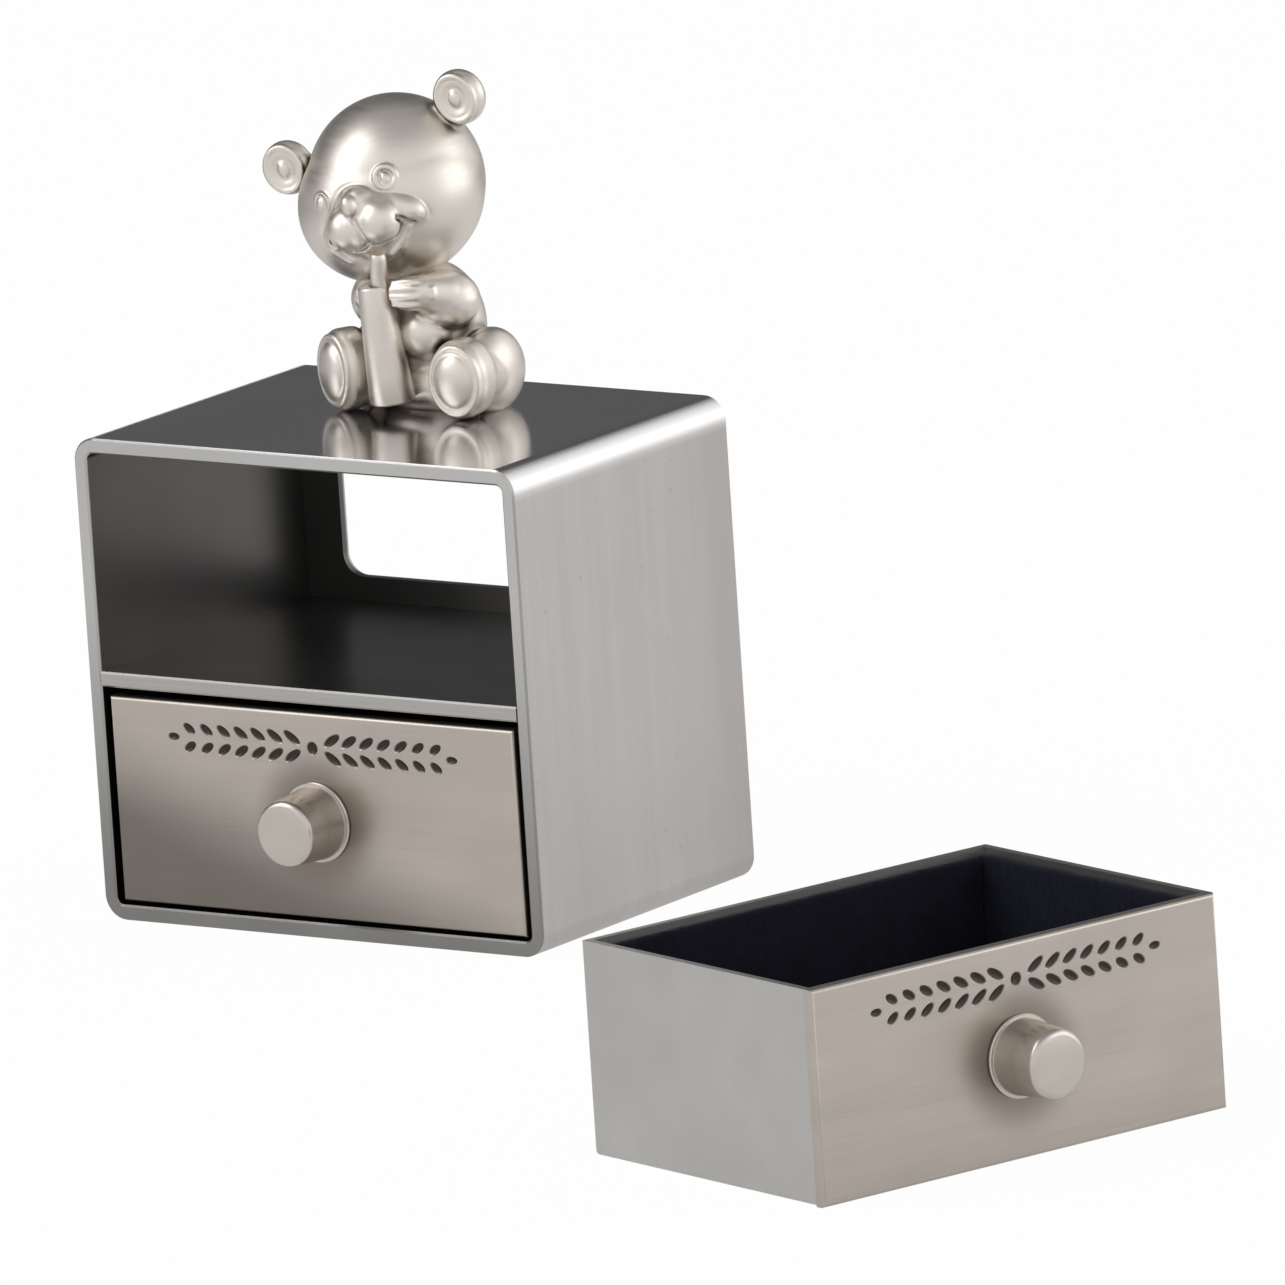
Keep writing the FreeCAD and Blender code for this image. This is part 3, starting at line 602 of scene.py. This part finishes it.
left_foot, left_rim, left_pad = foot((7.0, -7.2, 4.2), wide=3.4, high=4.15, turn=4.0)
right_foot, right_rim, right_pad = foot((-7.8, -7.1, 4.3), wide=3.4, high=4.3, turn=-24.0)
forms = [
    bulge((-0.4, -1.0, 8.2), (5.8, 5.2, 6.85)),
    bulge((0.0, -1.2, 2.6), (7.2, 4.9, 3.6)),
    bulge((6.9, -1.6, 4.0), (3.0, 4.6, 4.5)),
    bulge((-6.9, -1.6, 4.0), (3.0, 4.6, 4.5)),
    bulge((1.1, -4.6, 8.3), (3.2, 2.7, 2.9)),
    bulge((0.0, 4.6, 3.0), (1.6, 1.5, 1.6)),
    bulge((3.6, -3.9, 11.7), (3.6, 3.0, 3.1), (0.0, 10.0, 30.0)),
    bulge((-4.6, -3.9, 11.3), (3.4, 3.0, 3.1), (0.0, -10.0, -30.0)),
    bulge((1.9, -7.75, 12.95), (2.3, 1.3, 1.85), (0.0, 0.0, 25.0)),
    bulge((-3.85, -7.0, 12.3), 1.7),
]
forms += left_foot + right_foot
forms += limb((7.0, -3.0, 3.9), 2.9, (7.0, -5.4, 4.2), 3.2, count=4)
forms += limb((-7.1, -3.0, 3.9), 2.9, (-7.4, -5.4, 4.3), 3.2, count=4)
forms += limb((3.9, -4.4, 12.2), 2.5, (2.7, -7.0, 12.95), 1.85, count=7)
forms += limb((-4.6, -4.4, 11.6), 2.3, (-4.1, -6.6, 12.2), 1.6, count=5)
bear_body = weld("bear_body_casting", forms)
recast(bear_body, grain=0.18, rounds=12)
finger_root, finger_thick = Vector((4.0, -5.6, 13.0)), 0.42
fingers = []
for run in ([(0.2, -9.0, 14.35), (1.9, -8.8, 14.5), (3.5, -8.0, 14.35)],
            [(0.1, -9.4, 13.6), (2.0, -9.1, 13.7), (3.8, -8.1, 13.65)],
            [(0.2, -9.4, 12.75), (2.0, -9.2, 12.8), (3.9, -8.1, 12.8)],
            [(0.4, -9.2, 11.9), (2.0, -9.0, 11.9), (3.8, -8.0, 11.95)]):
    fingers.append(thread(on_skin(bear_body, run, lift=-0.05) + [finger_root], finger_thick))
wrist, wrist_thick = [(4.5, -7.5, 13.8), (4.6, -7.3, 13.1), (4.5, -7.5, 12.5)], 0.45
fingers.append(thread(on_skin(bear_body, wrist, lift=-0.22), wrist_thick))
bear_body = weld("bear_body_casting", [bear_body, left_rim, right_rim, left_pad, right_pad] + fingers)
recast(bear_body, grain=0.14, rounds=5)
under = slab("under_seat", (-20.0, -20.0, -20.0), (20.0, 20.0, 0.0))
finish_with(bear_body, "BOOLEAN", object=under, operation="DIFFERENCE", solver="MANIFOLD")
bpy.data.objects.remove(under)

cast_shades, hollow_patina_and_shade = ((0.71, 0.66, 0.60), (0.77, 0.725, 0.665)), (0.10, 0.085, 0.07)
cast_metal, tree, shader = metal("matt_cast_metal")
place = place_of(tree)
grain = streaks(tree, place, (1800.0, 1800.0, 1800.0), detail=3.0)
clouds = streaks(tree, place, (170.0, 170.0, 170.0), detail=3.0)
# Patina and painted shade: the colour darkens where ambient occlusion finds hollows.
hollow = lay_node(tree, "ShaderNodeAmbientOcclusion", samples=12, only_local=True)
hollow.inputs["Distance"].default_value = 1.3 * mm
patina_and_shade_mask = step_at(tree, hollow.outputs["AO"], 0.50, 0.97)
bright = stain(tree, clouds, *cast_shades)
tree.links.new(stain(tree, patina_and_shade_mask, hollow_patina_and_shade, bright), shader.inputs["Base Color"])
hand_brushed = streaks(tree, place, (160.0, 160.0, 2600.0), detail=3.0)
tree.links.new(between(tree, hand_brushed, 0.28, 0.50), shader.inputs["Roughness"])
roughen(tree, shader, reckon(tree, "ADD", grain, hand_brushed), depth=0.012 * mm, strength=0.35)
put(bear_body, bear_seat, 0.0, mm)
bpy.ops.object.shade_smooth()
dress(bear_body, cast_metal, "cabinet", "bear_metal", "bear_body")

# Bear's head: a second casting soldered into the neck, tilted to the bear's right. It has dished ears with a
# button, ringed eyes, and a full muzzle with a carved smile and round cheeks.
head_at, head_lean, head_turn = Vector((-4.3, -0.6, 22.9)), -21.9, 10.0
forms = [
    bulge((0.1, 0.2, -0.15), 9.15),
    bulge((-0.75, -0.7, -1.5), (10.0, 8.9, 8.6)),
    bulge((8.7, 1.6, 4.3), (2.0, 1.4, 2.0)),
    bulge((-8.9, 1.7, 4.0), (1.9, 1.4, 1.8)),
]
rims = []
dishes = []
to_dish, to_rim, to_button = Vector((0.0, -1.95, 0.0)), Vector((0.0, -1.1, 0.0)), Vector((0.0, -0.85, 0.0))
for ear, size in (((10.45, 0.6, 5.3), 2.95), ((-10.9, 0.4, 5.5), 2.9)):
    at = Vector(ear)
    forms.append(bulge(at, (size, 1.75, size)))
    dishes.append(bulge(at + to_dish, (size * 0.66, 1.05, size * 0.76)))
    rims.append(hoop(at + to_rim, (0.0, -1.0, 0.0), size * 0.69, size * 0.80, 0.3))
    rims.append(bulge(at + to_button, (size * 0.27, 0.55, size * 0.36)))
bear_head = weld("bear_head_casting", forms)
recast(bear_head, grain=0.18, rounds=7)
carve(bear_head, dishes)
mask = [
    bulge((0.1, -8.4, -0.5), (2.2, 2.6, 2.0)),
    bulge((-0.2, -7.9, -2.7), (4.4, 3.4, 3.3)),
    bulge((3.3, -7.4, -2.3), (3.2, 2.0, 1.75), (0.0, 39.0, 0.0)),
    bulge((-3.3, -7.4, -2.3), (3.2, 2.0, 1.75), (0.0, -39.0, 0.0)),
    bulge((0.0, -7.0, -5.0), (3.3, 2.2, 2.2)),
]
bear_head = weld("bear_head_casting", [bear_head] + mask)
recast(bear_head, grain=0.17, rounds=12)
brow = [(-5.84, -8.29, -2.26), (-4.79, -8.81, -1.21), (-3.62, -9.13, -0.46), (-2.59, -9.15, 0.6),
        (-1.81, -9.04, 1.28), (-0.93, -8.98, 1.61), (-0.04, -9.03, 1.56), (1.11, -9.15, 1.21),
        (1.84, -9.15, 0.66), (2.19, -9.12, 0.13), (2.78, -8.95, -0.29), (3.68, -8.62, -0.65)]
cheek = [(3.68, -8.62, -0.65), (4.82, -8.19, -1.44), (5.45, -7.76, -2.0), (5.93, -7.27, -2.79),
         (6.01, -6.91, -3.78), (5.67, -6.64, -4.71)]
carve(bear_head, [thread(on_skin(bear_head, brow, lift=0.1), thick=0.28),
                  thread(on_skin(bear_head, cheek, lift=0.17), thick=0.3)])
lobes = [
    bulge((1.56, -9.4, -3.0), (2.35, 2.1, 2.4)),
    bulge((-2.1, -9.2, -2.6), (2.3, 2.1, 2.4)),
    bulge((0.1, -9.2, -1.3), (2.3, 1.9, 1.9)),
]
bear_head = weld("bear_head_casting", [bear_head] + lobes)
recast(bear_head, grain=0.15, rounds=8)
smile = [
    [(4.6, -8.05, -4.56), (4.23, -8.51, -4.26), (3.94, -8.98, -3.83), (3.81, -9.9, -3.3)],
    [(3.65, -8.93, -4.12), (3.27, -8.86, -4.55), (2.63, -8.85, -5.08), (1.98, -9.74, -5.31),
     (0.87, -9.94, -5.24), (0.3, -10.41, -4.87), (-0.13, -10.6, -4.66)],
    [(-4.86, -8.98, -2.81), (-4.59, -9.0, -3.57), (-3.21, -10.32, -4.24), (-2.63, -9.65, -4.89),
     (-1.32, -9.99, -5.14), (-0.31, -10.44, -4.86)],
]
lips = [
    [(4.0, -8.0, -4.5), (3.4, -8.1, -5.1), (2.71, -8.06, -5.62), (1.45, -8.34, -6.42), (0.56, -8.19, -6.79)],
    [(-5.29, -8.67, -3.61), (-4.94, -8.36, -4.36), (-4.49, -7.93, -5.29), (-3.83, -7.72, -6.03)],
]
lip_threads = []
sink_ends, lip_thick = 0.93, 0.42
for run in lips:
    laid = on_skin(bear_head, run, lift=-0.12)
    lip_threads.append(thread([laid[0] * sink_ends] + laid + [laid[-1] * sink_ends], lip_thick))
cleft = [(-0.33, -11.07, -1.6), (-0.21, -11.23, -2.17), (-0.14, -11.25, -3.08), (-0.12, -10.98, -4.03),
         (-0.13, -10.6, -4.66)]
carve(bear_head, [thread(on_skin(bear_head, run, lift=-0.06), thick=0.33) for run in smile]
      + [thread(on_skin(bear_head, cleft, lift=0.26), thick=0.5)])
nose = bulge((-0.1, -11.0, -0.4), (0.8, 0.75, 1.15))
eyes = []
for eye, relief in (((3.62, -8.3, 0.86), 0.3), ((-4.1, -8.5, 0.83), 0.13)):
    spot, skin = on_skin(bear_head, [eye], lift=-0.08)[0], Vector(eye).normalized()
    eyes.append(hoop(spot, skin, 1.08, 1.12, relief))
    eyes.append(bulge(spot + Vector((-0.1, 0.1, -0.2)), (0.55, 1.8 * relief, 0.85)))
bear_head = weld("bear_head_casting", [bear_head] + rims + [nose] + eyes + lip_threads)
recast(bear_head, grain=0.13, rounds=4)
bear_head.rotation_euler = (0.0, math.radians(head_lean), math.radians(head_turn))
fix_place(bear_head)
put(bear_head, Vector(bear_seat) + head_at * mm, 0.0, mm)
bpy.ops.object.shade_smooth()
dress(bear_head, cast_metal, "cabinet", "bear_metal", "bear_head")

# Bear's bottle: a plain tapered bottle with a teat, turned from rod and soldered between the hands and
# the mouth. Its foot hangs a little above the deck.
bottle_turns = [(0.0, 2.15), (0.1, 2.3), (0.3, 2.38), (3.0, 2.24), (6.0, 2.06), (9.0, 1.88), (12.1, 1.70),
                (12.3, 1.64), (12.4, 1.5)]
teat_turns = [(0.0, 1.05), (0.8, 1.0), (1.4, 0.92), (2.4, 0.88), (3.6, 0.86), (4.1, 0.78), (4.3, 0.6)]
bottle = lathe("bottle", bottle_turns, (-1.26, -7.6, 1.46), (4.6, -3.4, 0.0))
teat = lathe("teat", teat_turns, (-1.33, -8.45, 13.2), (13.1, 10.5, 0.0))
bear_bottle = weld("bear_bottle_casting", [bottle, teat])
put(bear_bottle, bear_seat, 0.0, mm)
bpy.ops.object.shade_smooth_by_angle(angle=math.radians(40.0))
dress(bear_bottle, cast_metal, "cabinet", "bear_metal", "bear_bottle")

# Stage: a white floor, two soft boxes and a canopy, dim at the back, that the polished metal mirrors.
# The camera stands where the photograph was taken, with a long lens.
floor_glow, mirrored_less = 0.98, -0.43


def seen_outright(tree, path):
    seen = reckon(tree, "ADD", path.outputs["Is Camera Ray"], path.outputs["Is Glossy Ray"])
    return reckon(tree, "ADD", seen, path.outputs["Is Transmission Ray"], clamp=True)


def reach_towards(tree, where, heading):
    made = lay_node(tree, "ShaderNodeVectorMath", operation="DOT_PRODUCT")
    tree.links.new(where, made.inputs[0])
    made.inputs[1].default_value = heading
    return made.outputs["Value"]


deselect()
bpy.ops.mesh.primitive_plane_add(size=12.0, location=(0.0, 0.0, 0.0))
floor = bpy.context.object
floor.name = "floor"
paper = bpy.data.materials.new("white_paper")
paper.use_nodes = True
tree = paper.node_tree
tree.nodes.clear()
out = lay_node(tree, "ShaderNodeOutputMaterial")
lit = lay_node(tree, "ShaderNodeBsdfDiffuse")
lit.inputs["Color"].default_value = (0.86, 0.86, 0.86, 1.0)
glow = lay_node(tree, "ShaderNodeEmission")
both = lay_node(tree, "ShaderNodeMixShader")
path = lay_node(tree, "ShaderNodeLightPath")
share = reckon(tree, "MULTIPLY", path.outputs["Is Glossy Ray"], mirrored_less)
share = reckon(tree, "ADD", share, floor_glow)
tree.links.new(reckon(tree, "MULTIPLY", seen_outright(tree, path), share), both.inputs[0])
tree.links.new(lit.outputs[0], both.inputs[1])
tree.links.new(glow.outputs[0], both.inputs[2])
tree.links.new(both.outputs[0], out.inputs[0])
where = lay_node(tree, "ShaderNodeTexCoord").outputs["Object"]
behind = step_at(tree, reach_towards(tree, where, (-0.85, 0.53, 0.0)), 0.03, 0.4)
dim = reckon(tree, "MULTIPLY", behind, path.outputs["Is Glossy Ray"])
tree.links.new(stain(tree, dim, (1.0, 1.0, 1.0), (0.1, 0.1, 0.1)), glow.inputs["Color"])
floor.data.materials.append(paper)

deselect()
bpy.ops.mesh.primitive_uv_sphere_add(segments=64, ring_count=32, radius=1.9)
canopy = bpy.context.object
canopy.name = "canopy"
bpy.ops.object.mode_set(mode="EDIT")
bpy.ops.mesh.select_all(action="SELECT")
bpy.ops.mesh.bisect(plane_co=(0.0, 0.0, 0.14), plane_no=(0.0, 0.0, 1.0), clear_inner=True)
bpy.ops.object.mode_set(mode="OBJECT")
canopy_front, canopy_back = (0.94, 0.94, 0.94), (0.12, 0.12, 0.124)
canopy_right, canopy_top = (0.95, 0.95, 0.95), (0.40, 0.40, 0.40)
cloth = bpy.data.materials.new("dim_canopy")
cloth.use_nodes = True
tree = cloth.node_tree
tree.nodes.clear()
out = lay_node(tree, "ShaderNodeOutputMaterial")
glow = lay_node(tree, "ShaderNodeEmission")
where = lay_node(tree, "ShaderNodeTexCoord").outputs["Object"]
behind = reach_towards(tree, where, (-0.57, 0.80, 0.1))
shade = stain(tree, step_at(tree, behind, -0.8, 1.2), canopy_front, canopy_back)
right = reach_towards(tree, where, (0.45, 0.80, 0.40))
shade = stain(tree, step_at(tree, right, 1.45, 1.84), shade, canopy_right)
rise = step_at(tree, axes_of(tree, where)["Z"], 1.3, 1.85)
tree.links.new(stain(tree, rise, shade, canopy_top), glow.inputs["Color"])
tree.links.new(glow.outputs[0], out.inputs[0])
canopy.data.materials.append(cloth)
canopy.visible_camera = False
canopy.visible_diffuse = False
canopy.visible_transmission = False
canopy.visible_shadow = False

world = bpy.data.worlds.new("white_room")
bpy.context.scene.world = world
world.use_nodes = True
tree = world.node_tree
back = tree.nodes["Background"]
seen = seen_outright(tree, lay_node(tree, "ShaderNodeLightPath"))
tree.links.new(stain(tree, seen, (0.45, 0.45, 0.45), (1.0, 1.0, 1.0)), back.inputs["Color"])
aim = Vector((0.02, -0.02, 0.05))


def soft_box(name, place, wide, high, power):
    lamp = bpy.data.lights.new(name, "AREA")
    lamp.shape = "RECTANGLE"
    lamp.size = wide
    lamp.size_y = high
    lamp.energy = power
    made = bpy.data.objects.new(name, lamp)
    bpy.context.collection.objects.link(made)
    made.location = place
    made.rotation_euler = (aim - Vector(place)).to_track_quat("-Z", "Y").to_euler()
    made.visible_camera = False


soft_box("left_soft_box", (-0.66, -0.70, 0.80), wide=0.75, high=1.1, power=5.0)
soft_box("right_soft_box", (1.0, 0.56, 0.34), wide=1.0, high=0.9, power=2.6)

lens = bpy.data.cameras.new("camera")
lens.lens = 646.74
lens.sensor_width = 36.0
lens.clip_start = 0.1
lens.clip_end = 50.0
camera = bpy.data.objects.new("camera", lens)
bpy.context.collection.objects.link(camera)
round_to_right, looking_down, rolled = 35.564, 12.151, -3.777
swing = Matrix.Rotation(math.radians(round_to_right), 4, "Z")
tip = Matrix.Rotation(math.radians(90.0 - looking_down), 4, "X")
roll = Matrix.Rotation(math.radians(rolled), 4, "Z")
camera.location = (1.36207, -1.86493, 0.52250)
camera.rotation_euler = (swing @ tip @ roll).to_euler()
bpy.context.scene.camera = camera
